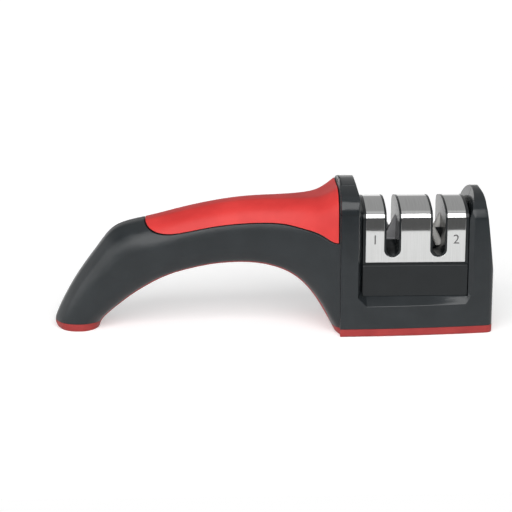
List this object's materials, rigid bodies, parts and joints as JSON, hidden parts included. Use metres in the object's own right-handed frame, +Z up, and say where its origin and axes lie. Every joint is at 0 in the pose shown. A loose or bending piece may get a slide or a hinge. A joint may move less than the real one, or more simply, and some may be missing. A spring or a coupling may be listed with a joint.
{
  "type": "pull through knife sharpener",
  "caption": "Hand-held pull through knife sharpener with an arched handle, a red soft grip and a lift-out module with a coarse and a fine slot.",
  "frame": {"origin": "bottom of the base and of the toe, in the middle of the length and of the depth", "axes": "+X from the toe of the handle to the head, +Y from the front to the back, +Z up"},
  "size_m": [0.2046, 0.048, 0.07],
  "materials": {
    "black_plastic": "satin moulded",
    "module_plastic": "satin moulded",
    "red_soft": "soft matt",
    "cover_steel": "brushed",
    "screw_steel": "zinc plated",
    "carbide": "ground",
    "white_ceramic": "matt unglazed"
  },
  "bodies": {
    "housing": {"front_shell": "black_plastic", "back_shell": "black_plastic", "post_cap": "black_plastic", "grip_inlay": "red_soft", "base_pad": "red_soft", "arch_trim": "red_soft", "toe_pad": "red_soft", "shell_screws": "screw_steel"},
    "cartridge": {"steel_cover": "cover_steel", "core_front": "module_plastic", "core_back": "module_plastic", "core_screws": "screw_steel", "panel_front": "module_plastic", "panel_back": "module_plastic", "coarse_holder": "module_plastic", "fine_holder": "module_plastic", "holder_screws": "screw_steel", "carbide_blade_front": "carbide", "carbide_blade_back": "carbide", "ceramic_rod_front": "white_ceramic", "ceramic_rod_back": "white_ceramic"}
  },
  "joints": [
    {"name": "cartridge_lift", "type": "slide", "parent": "housing", "child": "cartridge", "axis": [0, 0, 1], "range_m": [0, 0.057]}
  ]
}
